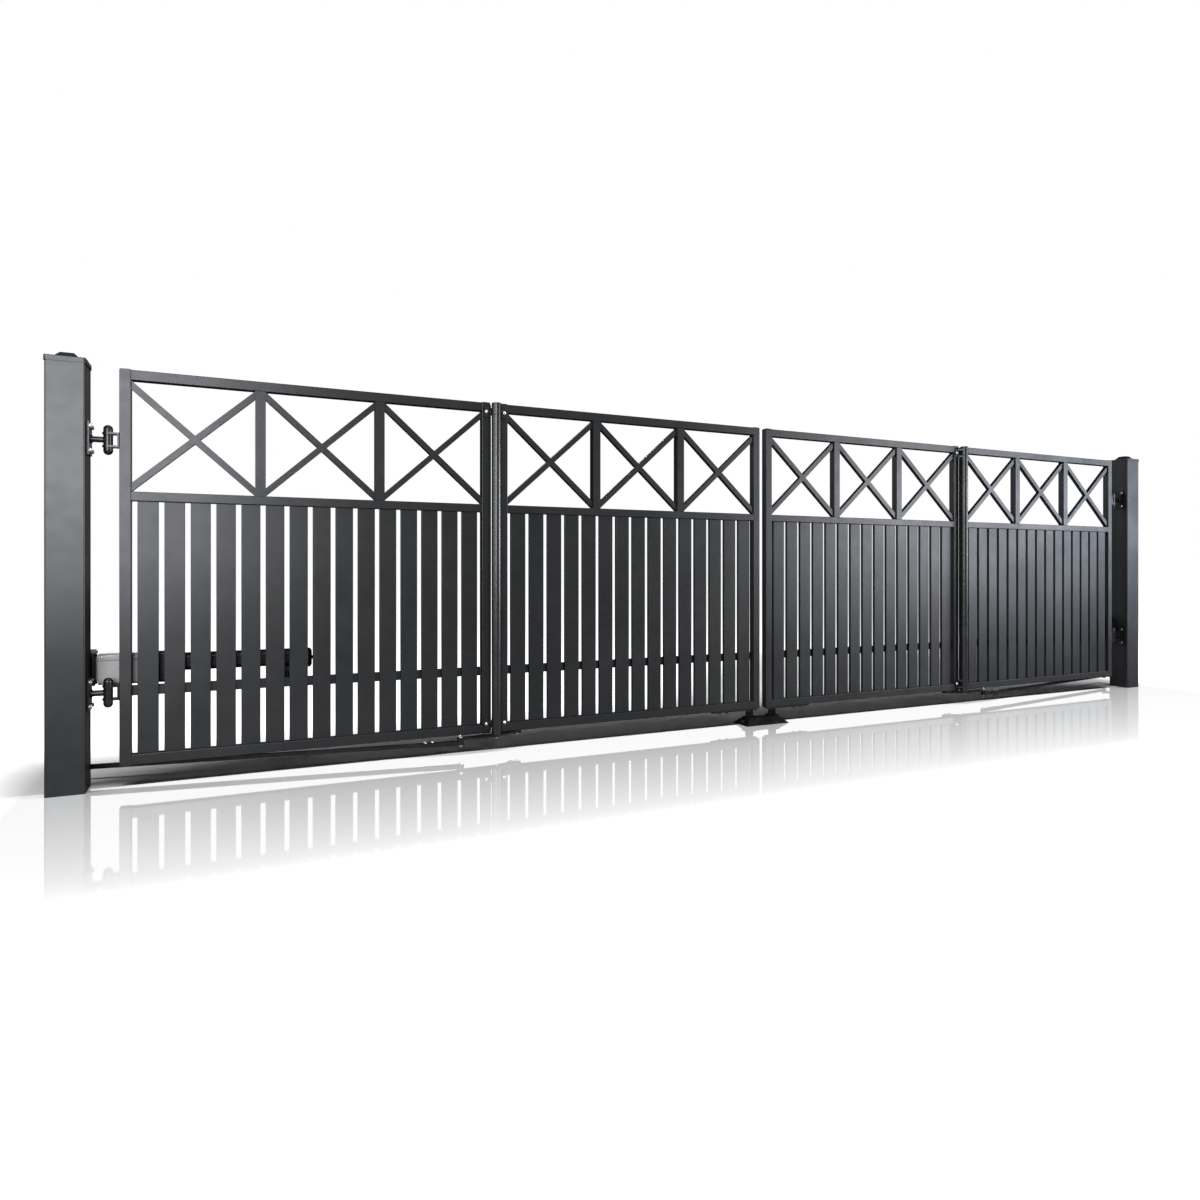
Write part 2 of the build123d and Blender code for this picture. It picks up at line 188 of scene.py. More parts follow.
# Bare and painted metal, plastic and rubber of the fittings
partLooks = {
    "hinge_steel": {
        "dark": (0.013, 0.013, 0.014), "light": (0.021, 0.021, 0.022),
        "gloss": (0.20, 0.28), "coated": True,
    },
    "bracket_steel": {
        "dark": (0.009, 0.009, 0.010), "light": (0.015, 0.015, 0.016),
        "gloss": (0.34, 0.44), "coated": True,
    },
    "drive_metal": {
        "dark": (0.100, 0.100, 0.102), "light": (0.125, 0.125, 0.128),
        "gloss": (0.34, 0.42), "metal": 0.15,
    },
    "drive_tube": {
        "dark": (0.009, 0.009, 0.010), "light": (0.014, 0.014, 0.015),
        "gloss": (0.28, 0.36), "coated": True,
    },
    "zinc": {
        "dark": (0.28, 0.28, 0.285), "light": (0.40, 0.40, 0.405),
        "gloss": (0.26, 0.38), "metal": 1.0,
    },
    "dark_steel": {
        "dark": (0.220, 0.220, 0.223), "light": (0.310, 0.310, 0.313),
        "gloss": (0.14, 0.22), "metal": 1.0,
    },
    "lid_grey": {
        "dark": (0.058, 0.060, 0.062), "light": (0.080, 0.082, 0.085),
        "gloss": (0.34, 0.46), "metal": 0.0,
    },
    "knob_grey": {
        "dark": (0.070, 0.071, 0.073), "light": (0.095, 0.096, 0.099),
        "gloss": (0.38, 0.50), "metal": 0.0,
    },
    "stop_black": {
        "dark": (0.004, 0.004, 0.004), "light": (0.008, 0.008, 0.0085),
        "gloss": (0.50, 0.65), "coated": True,
    },
}


def partFinish(name, look):
    part = Shader(name)
    setColour(part, part.noise(partGrain["cloud"], 3.0), look)
    part.link(part.spread(part.noise(partGrain["patch"], 3.0), *look["gloss"]), part.surface.inputs["Roughness"])
    grain = part.bump(part.noise(partGrain["grain"], 2.0), partGrain["grainHeight"])
    part.link(grain, part.surface.inputs["Normal"])
    if look.get("coated"):
        setShine(part, coatShine)
    else:
        part.surface.inputs["Metallic"].default_value = look["metal"]
    return part.material


finishes = {name: coatFinish(name, look) for name, look in coatLooks.items()}
finishes.update({name: partFinish(name, look) for name, look in partLooks.items()})

slotOfNode = {row["node"]: row["material_slot"] for row in frame["record"]["subparts"]}
for nodeName, nodeObject in frame["nodes"].items():
    nodeObject.data.materials.clear()
    nodeObject.data.materials.append(finishes[slotOfNode[nodeName]])
print("finishes on", len(slotOfNode), "nodes")


# Piece helpers: a primitive is added at its size, shaped in edit mode and settled at the origin
facings = {
    "up": (0, 0, 0), "down": (180, 0, 0), "front": (90, 0, 0), "back": (-90, 0, 0), "out": (0, 90, 0),
}
stopLow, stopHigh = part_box("floor_stop")
gateCentre = (stopLow[0] + stopHigh[0]) / 2
patterns = []
smoothAngle = math.radians(32)
mergeDistance = 0.000001
tiny = 0.0001
straight = 0.9  # Least part of an edge's direction that counts as along an axis


def pick(piece):
    clearSelection()
    piece.select_set(True)
    bpy.context.view_layer.objects.active = piece


def settle(piece):
    pick(piece)
    bpy.ops.object.transform_apply(location=True, rotation=True, scale=True)
    bpy.ops.object.shade_smooth_by_angle(angle=smoothAngle)
    return piece


def closeMesh(piece):
    # Merge doubles and turn every face outwards
    pick(piece)
    bpy.ops.object.mode_set(mode="EDIT")
    bpy.ops.mesh.select_all(action="SELECT")
    bpy.ops.mesh.remove_doubles(threshold=mergeDistance)
    bpy.ops.mesh.normals_make_consistent(inside=False)
    bpy.ops.object.mode_set(mode="OBJECT")
    return piece


def turnPiece(name, sides, steps):
    # A shape drawn up along Z from a flat polygon: each step is a radius and a height
    clearSelection()
    radius, height = steps[0]
    bpy.ops.mesh.primitive_circle_add(
        vertices=sides, radius=radius, fill_type="NGON", location=(0, 0, height)
    )
    piece = bpy.context.object
    piece.name = name
    bpy.ops.object.mode_set(mode="EDIT")
    for nextRadius, nextHeight in steps[1:]:
        bpy.ops.mesh.extrude_region_move(TRANSFORM_OT_translate={"value": (0, 0, nextHeight - height)})
        grow = nextRadius / radius
        bpy.ops.transform.resize(value=(grow, grow, 1), center_override=(0, 0, 0))
        radius, height = nextRadius, nextHeight
    bpy.ops.object.mode_set(mode="OBJECT")
    return settle(closeMesh(piece))


def joinPieces(name, pieces):
    clearSelection()
    for piece in pieces:
        piece.select_set(True)
    bpy.context.view_layer.objects.active = pieces[0]
    if len(pieces) > 1:
        bpy.ops.object.join()
    pieces[0].name = name
    return pieces[0]


def cutAway(piece, cutter):
    clearSelection()
    bpy.context.view_layer.objects.active = piece
    cut = piece.modifiers.new("socket", "BOOLEAN")
    cut.object = cutter
    cut.solver = "EXACT"
    bpy.ops.object.modifier_apply(modifier=cut.name)
    bpy.data.objects.remove(cutter, do_unlink=True)
    return piece


def placeCopies(name, pattern, spots):
    # Copies of one pattern, each at a place and facing a way, joined into one piece
    copies = []
    for place, facing in spots:
        twin = pattern.copy()
        twin.data = pattern.data.copy()
        bpy.context.collection.objects.link(twin)
        twin.location = place
        twin.rotation_euler = [math.radians(angle) for angle in facings.get(facing, facing)]
        copies.append(twin)
    return settle(joinPieces(name, copies))


def keepPattern(pattern):
    pattern.hide_render = True
    patterns.append(pattern)
    return pattern


def dropPatterns():
    for pattern in patterns:
        bpy.data.objects.remove(pattern, do_unlink=True)
    print("patterns removed:", len(patterns))


def finishPiece(piece, finish, body):
    piece.hide_render = False
    piece.data.materials.clear()
    piece.data.materials.append(finishes[finish])
    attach(piece, body)


def finishPair(piece, name, finish, body):
    # The piece as made is the left one, and its mirror image is the right one
    piece.name = "left_" + name
    twin = piece.copy()
    twin.data = piece.data.copy()
    bpy.context.collection.objects.link(twin)
    twin.name = "right_" + name
    twin.location = (2 * gateCentre, 0, 0)
    twin.scale = (-1, 1, 1)
    pick(twin)
    bpy.ops.object.transform_apply(location=True, rotation=True, scale=True)
    bpy.ops.object.mode_set(mode="EDIT")
    bpy.ops.mesh.select_all(action="SELECT")
    bpy.ops.mesh.normals_make_consistent(inside=False)
    bpy.ops.object.mode_set(mode="OBJECT")
    bodies = (body, body) if body == "fixed" else ("left_" + body, "right_" + body)
    finishPiece(piece, finish, bodies[0])
    finishPiece(twin, finish, bodies[1])


def makeBlock(name, low, high):
    clearSelection()
    middle = [(start + end) / 2 for start, end in zip(low, high)]
    span = [end - start for start, end in zip(low, high)]
    bpy.ops.mesh.primitive_cube_add(size=1, location=middle, scale=span)
    block = bpy.context.object
    block.name = name
    bpy.ops.object.transform_apply(location=True, rotation=True, scale=True)
    return block


def dropMarks(mesh):
    for part in (*mesh.vertices, *mesh.edges, *mesh.polygons):
        part.select = False


def upright(middle, along):
    return abs(along.z) > straight


def bevelEdges(piece, width, segments, wanted):
    # Bevel the edges whose middle and direction pass the test
    pick(piece)
    mesh = piece.data
    dropMarks(mesh)
    for edge in mesh.edges:
        first, last = (mesh.vertices[index].co for index in edge.vertices)
        edge.select = bool(wanted((first + last) / 2, (last - first).normalized()))
    bpy.ops.object.mode_set(mode="EDIT")
    bpy.ops.mesh.select_mode(type="EDGE")
    bpy.ops.mesh.bevel(offset=width, segments=segments, affect="EDGES")
    bpy.ops.object.mode_set(mode="OBJECT")
    return settle(piece)


# Fasteners: each is modelled once, standing on the ground plane at the origin
hexBoltLook = {"washer": 0.0098, "washerHeight": 0.0016, "head": 0.0082, "headHeight": 0.0062, "edge": 0.0009}
smallBoltLook = {"washer": 0.0072, "washerHeight": 0.0012, "head": 0.0058, "headHeight": 0.0045, "edge": 0.0007}
nutLook = {
    "washer": 0.0115, "washerHeight": 0.0020, "head": 0.0100, "headHeight": 0.0080, "edge": 0.0010,
    "thread": 0.55, "turns": 3, "pitch": 0.0012, "groove": 0.0004, "tip": 0.0010,
}
headDish = {"rim": 0.62, "floor": 0.58}
buttonDome = ((0.97, 0), (1, 0.12), (0.95, 0.38), (0.82, 0.66), (0.62, 0.88), (0.45, 1))
buttonLook = {"radius": 0.0092, "height": 0.0058, "socket": 0.0032, "depth": 0.0030}
screwLook = {"radius": 0.0042, "height": 0.0024, "socket": 0.0016, "depth": 0.0013}


def hexHead(name, look):
    height = look["washerHeight"]
    edge = look["edge"] / 3
    washer = turnPiece(name + "Washer", 24, [
        (look["washer"] - edge, 0), (look["washer"], edge),
        (look["washer"], height - edge), (look["washer"] - edge, height),
    ])
    top = height + look["headHeight"]
    head = turnPiece(name + "Head", 6, [
        (look["head"], height), (look["head"], top - look["edge"]), (look["head"] - look["edge"], top),
        (look["head"] * headDish["rim"], top), (look["head"] * headDish["floor"], top - look["edge"] / 2),
    ])
    return joinPieces(name, [washer, head])


def makeNut(name, look):
    nut = hexHead(name, look)
    top = look["washerHeight"] + look["headHeight"]
    thread = look["head"] * look["thread"]
    pitch = look["pitch"]
    turns = [(thread, top - look["edge"])]
    for turn in range(look["turns"]):
        turns += [(thread, top + turn * pitch), (thread - look["groove"], top + turn * pitch + pitch / 2)]
    end = turnPiece(name + "Thread", 16, turns + [(thread - look["tip"], turns[-1][1] + pitch / 2)])
    return keepPattern(joinPieces(name, [nut, end]))


def makeButton(name, look, sides):
    radius, height = look["radius"], look["height"]
    button = turnPiece(name, sides, [(radius * wide, height * high) for wide, high in buttonDome])
    hole = look["socket"]
    socket = turnPiece(name + "Socket", 6, [(hole, height - look["depth"]), (hole, height * 1.5)])
    return keepPattern(settle(closeMesh(cutAway(button, socket))))


# Welds: a ring round a bar's foot and a straight run for an inner corner, both rippled
weldShape = {"swell": 0.22, "valley": 0.78, "end": 0.5}


def makeWeldRing(name, radius, bead, ripples):
    clearSelection()
    bpy.ops.mesh.primitive_torus_add(
        major_radius=radius, minor_radius=bead, major_segments=2 * ripples, minor_segments=8
    )
    ring = bpy.context.object
    ring.name = name
    step = math.pi / ripples
    for vertex in ring.data.vertices:
        vertex.select = round(math.atan2(vertex.co.y, vertex.co.x) / step) % 2 == 1
    bpy.ops.object.mode_set(mode="EDIT")
    bpy.ops.mesh.select_mode(type="VERT")
    bpy.ops.transform.shrink_fatten(value=-bead * weldShape["swell"])
    bpy.ops.object.mode_set(mode="OBJECT")
    return keepPattern(settle(ring))


def makeWeldRun(name, length, bead, pitch):
    # Centred on its length, so that it turns round its middle
    count = max(4, round(length / pitch))
    end, valley = bead * weldShape["end"], bead * weldShape["valley"]
    steps = [(end, -length / 2)]
    for index in range(1, count):
        steps.append((bead if index % 2 else valley, -length / 2 + index * length / count))
    steps.append((end, length / 2))
    return keepPattern(turnPiece(name, 8, steps))


hexBolt = keepPattern(hexHead("hexBolt", hexBoltLook))
smallBolt = keepPattern(hexHead("smallBolt", smallBoltLook))
lockNut = makeNut("lockNut", nutLook)
buttonBolt = makeButton("buttonBolt", buttonLook, 32)
panScrew = makeButton("panScrew", screwLook, 12)
print("fasteners modelled")


# Leaves: thin plugs on the stiles' ends, welds in the corners, and screws and backs for the boards
leafLook = {
    "tube": 0.040, "corner": 0.0025, "levels": (0.124, 1.118, 1.155, 1.591), "mullion": 0.485,
    "bead": 0.0026, "crossBead": 0.0020, "bar": 0.025, "slope": 42.11, "crossing": (0.2625, 1.373),
    "ripple": 0.0028, "crossRipple": 0.0025, "crossShort": 0.002, "endRun": 0.0072,
    "boards": 15, "pitch": 0.093, "firstBoard": 0.0965, "screwLevel": 0.372, "crossRail": (0.352, 0.392),
    "boardHalf": 0.0363, "backFrom": 0.0052, "backTo": 0.0098, "backEdge": 0.0012,
}
plugLook = {
    "size": 0.0352, "height": 0.0010, "corner": 0.0030, "edge": 0.0004, "dish": 0.0004, "rim": 0.0035, "step": 0.0012,
}


def makePlug(look):
    # Square cap with rounded corners and a shallow dish, standing on its stile
    half = look["size"] / 2
    plug = makeBlock("plug", (-half, -half, 0), (half, half, look["height"]))
    plug = bevelEdges(plug, look["corner"], 3, upright)
    plug = bevelEdges(plug, look["edge"], 2, lambda middle, along: middle.z > look["height"] - tiny)
    top = max(plug.data.polygons, key=lambda face: face.center.z + face.area)
    pick(plug)
    dropMarks(plug.data)
    top.select = True
    bpy.ops.object.mode_set(mode="EDIT")
    bpy.ops.mesh.select_mode(type="FACE")
    bpy.ops.mesh.inset(thickness=look["rim"])
    bpy.ops.mesh.inset(thickness=look["step"], depth=-look["dish"])
    bpy.ops.object.mode_set(mode="OBJECT")
    return keepPattern(settle(plug))


plug = makePlug(plugLook)
cornerLength = leafLook["tube"] - 2 * leafLook["corner"]
cornerRun = makeWeldRun("cornerRun", cornerLength, leafLook["bead"], leafLook["ripple"])
crossLength = leafLook["bar"] - leafLook["crossShort"]
crossRun = makeWeldRun("crossRun", crossLength, leafLook["crossBead"], leafLook["crossRipple"])


def dressLeaf(leaf, bottomPlugs):
    look = leafLook
    low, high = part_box("left_" + leaf + "_stiles")
    start, end = low[0], high[0]
    half = look["tube"] / 2
    spots = [((x, 0, high[2]), "up") for x in (start + half, end - half)]
    spots += [((start + offset, 0, low[2]), "down") for offset in bottomPlugs]
    finishPair(placeCopies("plugs", plug, spots), leaf + "_plugs", "frame_coat", leaf + "_leaf")

    insides = (start + look["tube"], end - look["tube"])
    corners = [(x, z) for x in insides for z in look["levels"]]
    for bay in (1, 2):
        right = start + look["tube"] + bay * look["mullion"]
        corners += [(x, z) for x in (right - look["tube"], right) for z in look["levels"][2:]]
    runs = placeCopies("runs", cornerRun, [((x, 0, z), "front") for x, z in corners])
    middleX, middleZ = look["crossing"]
    reachX = look["bar"] / 2 / math.sin(math.radians(look["slope"]))
    reachZ = look["bar"] / 2 / math.cos(math.radians(look["slope"]))
    crossings = []
    for bay in range(3):
        x = start + middleX + bay * look["mullion"]
        for dx, dz in ((reachX, 0), (-reachX, 0), (0, reachZ), (0, -reachZ)):
            crossings.append(((x + dx, 0, middleZ + dz), "front"))
    crosses = placeCopies("crosses", crossRun, crossings)
    ends = placeCopies("ends", cornerRun, [((x, look["endRun"], look["screwLevel"]), "up") for x in insides])
    welds = joinPieces("welds", [runs, crosses, ends])
    finishPair(welds, leaf + "_welds", "frame_coat", leaf + "_leaf")

    screws = [
        ((start + look["firstBoard"] + board * look["pitch"], half, look["screwLevel"]), "back")
        for board in range(look["boards"])
    ]
    finishPair(placeCopies("screws", panScrew, screws), leaf + "_screws", "zinc", leaf + "_leaf")

    # Hollow boards: the back half of each, stopping under and over the cross rail
    backs = []
    for board in range(look["boards"]):
        middle = start + look["firstBoard"] + board * look["pitch"]
        for lowEnd, topEnd in ((look["levels"][0], look["crossRail"][0]), (look["crossRail"][1], look["levels"][1])):
            backs.append(makeBlock(
                "back", (middle - look["boardHalf"], look["backFrom"], lowEnd),
                (middle + look["boardHalf"], look["backTo"], topEnd),
            ))
    backs = bevelEdges(
        joinPieces("backs", backs), look["backEdge"], 2,
        lambda middle, along: upright(middle, along) and middle.y > look["backTo"] - tiny,
    )
    finishPair(backs, leaf + "_board_backs", "board_coat", leaf + "_leaf")


# Rubber seal on the inner leaf's edge, half closing the gap beside the fold tube
sealLook = {"start": 1.6652, "end": 1.6722, "half": 0.0080, "low": 0.0900, "top": 1.6250, "edge": 0.0022}


def dressSeal(look):
    seal = makeBlock("seal", (look["start"], -look["half"], look["low"]), (look["end"], look["half"], look["top"]))
    seal = bevelEdges(
        seal, look["edge"], 3, lambda middle, along: upright(middle, along) and middle.x > look["start"] + tiny
    )
    finishPair(seal, "inner_seal", "stop_black", "inner_leaf")


dressSeal(sealLook)
dressLeaf("inner", (0.020, 1.475))
dressLeaf("outer", (0.020,))
print("leaves dressed")


# Post hinges: bolts through the plates, welds at both ends of the arm and round the clevis
hingeLook = {
    "levels": (0.370, 1.353), "plate": 0.073, "across": 0.026, "along": 0.047, "barrel": 0.1165,
    "collar": 0.0150, "arm": 0.0115, "bead": 0.0024, "back": 0.1695, "clevis": 0.0290, "width": 0.0385,
    "acrossBead": 0.0022, "uprightBead": 0.0018, "ripple": 0.0026, "short": 0.002,
}


def dressHinges(look):
    bolts = [
        ((look["plate"], y, z + rise), "out")
        for z in look["levels"]
        for y in (-look["across"], look["across"])
        for rise in (-look["along"], look["along"])
    ]
    finishPair(placeCopies("bolts", hexBolt, bolts), "hinge_bolts", "dark_steel", "fixed")

    collarRing = makeWeldRing("collarRing", look["collar"], look["bead"], 20)
    armRing = makeWeldRing("armRing", look["arm"], look["bead"], 16)
    footRings = placeCopies("footRings", collarRing, [((look["plate"], 0, z), "out") for z in look["levels"]])
    endRings = placeCopies("endRings", armRing, [((look["barrel"], 0, z), "out") for z in look["levels"]])
    finishPair(joinPieces("rings", [footRings, endRings]), "hinge_welds", "hinge_steel", "fixed")

    across = makeWeldRun("clevisAcross", look["width"], look["acrossBead"], look["ripple"])
    tallLength = 2 * look["clevis"] - look["short"]
    tallRun = makeWeldRun("clevisUpright", tallLength, look["uprightBead"], look["ripple"])
    half = look["width"] / 2
    levels = [z + rise for z in look["levels"] for rise in (-look["clevis"], look["clevis"])]
    flat = placeCopies("flat", across, [((look["back"], 0, z), "front") for z in levels])
    tallSpots = [((look["back"], y, z), "up") for z in look["levels"] for y in (-half, half)]
    tall = placeCopies("tall", tallRun, tallSpots)
    finishPair(joinPieces("clevisWelds", [flat, tall]), "clevis_welds", "hinge_steel", "inner_leaf")


dressHinges(hingeLook)
print("hinges dressed")


# Post brackets: bolts to the post, weld runs under and over the lugs, the knob and the rod's nut
bracketLook = {
    "face": 0.073, "boltX": (0.005, 0.035), "boltZ": (0.425, 0.485), "lugs": (0.397, 0.405, 0.505, 0.513),
    "middle": 0.0225, "run": 0.052, "pivot": (0.070, 0.080), "rodPivot": (-0.041, 0.172), "rodTop": 0.0725,
    "rodBoltZ": 0.104, "rodBoltX": (-0.054, -0.028), "shortRun": 0.040, "bead": 0.0024, "ripple": 0.0028,
}
knobLook = [
    (0.0120, 0.5130), (0.0120, 0.5150), (0.0150, 0.5165), (0.0170, 0.5195), (0.0175, 0.5230), (0.0172, 0.5262),
    (0.0158, 0.5300), (0.0130, 0.5330), (0.0090, 0.5348), (0.0045, 0.5354),
]
knobGrip = {"sides": 40, "from": 0.0165, "depth": 0.955}


def makeKnob(steps, place):
    # Every second edge of the widest part is pressed in, as a grip
    knob = turnPiece("knob", knobGrip["sides"], steps)
    step = 2 * math.pi / knobGrip["sides"]
    for vertex in knob.data.vertices:
        grip = math.hypot(vertex.co.x, vertex.co.y) > knobGrip["from"]
        vertex.select = grip and round(math.atan2(vertex.co.y, vertex.co.x) / step) % 2 == 1
    pick(knob)
    bpy.ops.object.mode_set(mode="EDIT")
    bpy.ops.mesh.select_mode(type="VERT")
    bpy.ops.transform.resize(value=(knobGrip["depth"], knobGrip["depth"], 1), center_override=(0, 0, 0))
    bpy.ops.object.mode_set(mode="OBJECT")
    knob.location = (*place, 0)
    return settle(knob)


def dressBrackets(look):
    bolts = [((x, look["face"], z), "back") for x in look["boltX"] for z in look["boltZ"]]
    bolts += [((x, look["face"], look["rodBoltZ"]), "back") for x in look["rodBoltX"]]
    bolts += [((*look["pivot"], look["lugs"][0]), "down")]
    finishPair(placeCopies("bolts", hexBolt, bolts), "bracket_bolts", "dark_steel", "fixed")
    nut = placeCopies("nut", lockNut, [((*look["rodPivot"], look["rodTop"]), "up")])
    finishPair(nut, "rod_nut", "zinc", "fixed")

    run = makeWeldRun("lugRun", look["run"], look["bead"], look["ripple"])
    lugWelds = placeCopies("lugWelds", run, [((look["middle"], look["face"], z), "out") for z in look["lugs"]])
    shortRun = makeWeldRun("rodLugRun", look["shortRun"], look["bead"], look["ripple"])
    rodLug = placeCopies("rodLugWeld", shortRun, [((look["rodPivot"][0], look["face"], look["rodTop"]), "out")])
    welds = joinPieces("bracketWelds", [lugWelds, rodLug])
    finishPair(welds, "bracket_welds", "bracket_steel", "fixed")
    finishPair(makeKnob(knobLook, look["pivot"]), "drive_knob", "knob_grey", "fixed")


dressBrackets(bracketLook)
print("brackets dressed")


# Fold hinge: cap on the tube, washers at the knuckles and one button bolt in each strap
foldLook = {
    "axis": (1.6875, -0.0425), "top": 1.624, "cap": 0.0222, "washer": 0.0238, "washerHeight": 0.0016,
    "straps": (0.1275, 1.5875), "knuckle": 0.0155, "face": -0.026, "inner": 1.6455, "outer": 1.7310,
    "washerEdge": 0.0004, "washerGap": 0.0003,
    "capSteps": ((0, 0), (0, 0.0024), (0.0014, 0.0040), (0.0070, 0.0050), (0.0080, 0.0044)),
}


def dressFold(look):
    steps = [(look["cap"] - inset, look["top"] + rise) for inset, rise in look["capSteps"]]
    cap = turnPiece("foldCap", 40, steps)
    cap.location = (*look["axis"], 0)
    finishPair(settle(cap), "fold_cap", "stop_black", "outer_leaf")

    edge, height = look["washerEdge"], look["washerHeight"]
    washer = keepPattern(turnPiece("foldWasher", 40, [
        (look["washer"] - edge, 0), (look["washer"], edge),
        (look["washer"], height - edge), (look["washer"] - edge, height),
    ]))
    spots = [
        ((*look["axis"], z + side * (look["knuckle"] + look["washerGap"])), way)
        for z in look["straps"] for side, way in ((-1, "down"), (1, "up"))
    ]
    washers = placeCopies("washers", washer, spots)
    finishPair(washers, "fold_washers", "fold_coat", "outer_leaf")

    for leaf in ("inner", "outer"):
        bolts = [((look[leaf], look["face"], z), "front") for z in look["straps"]]
        bolts = placeCopies("bolts", buttonBolt, bolts)
        finishPair(bolts, leaf + "_strap_bolts", "zinc", leaf + "_leaf")


dressFold(foldLook)
print("fold hinges dressed")


# Foot: crank bolts, the nut over the rod's end, and the pair of low bolts where the rod broadens
footLook = {
    "rodEnd": (1.5155, -0.0425), "crankTop": 0.0785, "crankLow": 0.069, "axis": (1.6875, -0.0425),
    "padX": (1.772, 1.803), "rodTop": 0.063, "rodLow": 0.045, "joints": ((1.358, -0.0208), (1.390, -0.0252)),
}


def dressFoot(look):
    nut = placeCopies("nut", lockNut, [((*look["rodEnd"], look["crankTop"]), "up")])
    bolts = [((*look["axis"], look["crankLow"]), "down")]
    bolts += [((x, 0, look["crankLow"]), "down") for x in look["padX"]]
    heads = placeCopies("heads", hexBolt, bolts)
    finishPair(joinPieces("crankBolts", [nut, heads]), "crank_bolts", "dark_steel", "outer_leaf")
    joints = placeCopies("jointBolts", smallBolt, [((*place, look["rodTop"]), "up") for place in look["joints"]])
    end = placeCopies("endBolt", hexBolt, [((*look["rodEnd"], look["rodLow"]), "down")])
    finishPair(joinPieces("rodBolts", [joints, end]), "rod_bolts", "dark_steel", "rod")


dressFoot(footLook)
print("foot dressed")


# Drive: lid over the housing with its dark seam, screws, tail sleeve, gland, and the bolt in the end cap
driveLook = {
    "start": 0.090, "end": 0.267, "front": 0.052, "back": 0.108, "top": 0.517, "low": 0.393, "lid": 0.489,
    "seam": 0.0014, "proud": 0.0005, "corner": 0.0102, "screwX": (0.102, 0.255), "screwZ": 0.503,
    "lidEdge": 0.0007, "seamProud": 0.0002, "seamEdge": 0.0001, "endX": 0.883, "endZ": 0.466,
    "pivot": (0.070, 0.080), "sleeve": 0.0141, "neck": 0.0122, "neckEnd": 0.0830, "tail": (0.4053, 0.5047),
}
glandLook = {
    "place": (0.115, 0.080), "hex": 0.0125, "hexHeight": 0.0050,
    "nose": (
        (0.0104, -0.0050), (0.0104, -0.0080), (0.0096, -0.0110),
        (0.0080, -0.0136), (0.0060, -0.0146), (0.0044, -0.0140),
    ),
}


def longTopEdge(middle, along):
    return abs(along.x) > straight and middle.z > driveLook["top"]


def dressDrive(look):
    proud = look["proud"]
    lid = makeBlock(
        "lid", (look["start"] - proud, look["front"] - proud, look["lid"]),
        (look["end"], look["back"] + proud, look["top"] + proud),
    )
    lid = bevelEdges(lid, look["corner"], 4, longTopEdge)
    lid = bevelEdges(lid, look["lidEdge"], 2, lambda middle, along: middle.x < look["start"])
    finishPair(lid, "drive_lid", "lid_grey", "drive")
    proudSeam = look["seamProud"]
    seam = makeBlock(
        "seam", (look["start"] - proudSeam, look["front"] - proudSeam, look["lid"] - look["seam"]),
        (look["end"], look["back"] + proudSeam, look["lid"]),
    )
    seam = bevelEdges(seam, look["seamEdge"], 1, upright)
    finishPair(seam, "drive_seam", "stop_black", "drive")
    screws = [((x, look["front"] - proud, look["screwZ"]), "front") for x in look["screwX"]]
    screws += [((x, look["back"] + proud, look["screwZ"]), "back") for x in look["screwX"]]
    finishPair(placeCopies("screws", panScrew, screws), "drive_screws", "zinc", "drive")

    pivotX, pivotY = look["pivot"]
    low, top = look["tail"]
    sleeve = turnPiece("sleeve", 36, [(look["sleeve"], low), (look["sleeve"], top)])
    sleeve.location = (pivotX, pivotY, 0)
    neck = makeBlock("neck", (pivotX, pivotY - look["neck"], low), (look["neckEnd"], pivotY + look["neck"], top))
    finishPair(joinPieces("tail", [settle(sleeve), neck]), "drive_tail", "bracket_steel", "drive")

    shape = glandLook
    gland = turnPiece("gland", 6, [(shape["hex"], -shape["hexHeight"]), (shape["hex"], 0)])
    gland = joinPieces("gland", [gland, turnPiece("glandNose", 24, shape["nose"])])
    gland.location = (*shape["place"], look["low"])
    finishPair(settle(gland), "drive_gland", "stop_black", "drive")
    bolt = placeCopies("endBolt", buttonBolt, [((look["endX"], pivotY, look["endZ"]), "out")])
    finishPair(bolt, "end_cap_bolt", "hinge_steel", "drive")


dressDrive(driveLook)
print("drives dressed")


# Carriage and its arm: socket bolts on the block, bolts and welds on the arm
armLook = {
    "carriageX": (0.764, 0.800), "carriageZ": 0.422, "sides": (0.060, 0.100), "plate": 0.026,
    "boltX": (0.757, 0.807), "boltZ": 0.366, "pivot": (0.782, 0.080), "shelfLow": 0.384, "shelfTop": 0.392,
    "boss": 0.0180, "bossBead": 0.0024, "shelfRun": 0.050, "shelfBead": 0.0026, "ripple": 0.0028,
}


def dressArm(look):
    blocks = [((x, look["sides"][0], look["carriageZ"]), "front") for x in look["carriageX"]]
    blocks += [((x, look["sides"][1], look["carriageZ"]), "back") for x in look["carriageX"]]
    finishPair(placeCopies("blockBolts", smallBolt, blocks), "carriage_bolts", "zinc", "carriage")
    spots = [((x, look["plate"], look["boltZ"]), "back") for x in look["boltX"]]
    bolts = placeCopies("bolts", smallBolt, spots)
    nut = placeCopies("nut", lockNut, [((*look["pivot"], look["shelfLow"]), "down")])
    finishPair(joinPieces("armBolts", [bolts, nut]), "arm_bolts", "zinc", "inner_leaf")
    ring = makeWeldRing("bossRing", look["boss"], look["bossBead"], 24)
    run = makeWeldRun("shelfRun", look["shelfRun"], look["shelfBead"], look["ripple"])
    rings = placeCopies("bossWeld", ring, [((*look["pivot"], look["shelfTop"]), "up")])
    runs = placeCopies("shelfWeld", run, [((look["pivot"][0], look["plate"], look["shelfLow"]), "out")])
    finishPair(joinPieces("armWelds", [rings, runs]), "arm_welds", "bracket_steel", "inner_leaf")


dressArm(armLook)
print("carriages dressed")


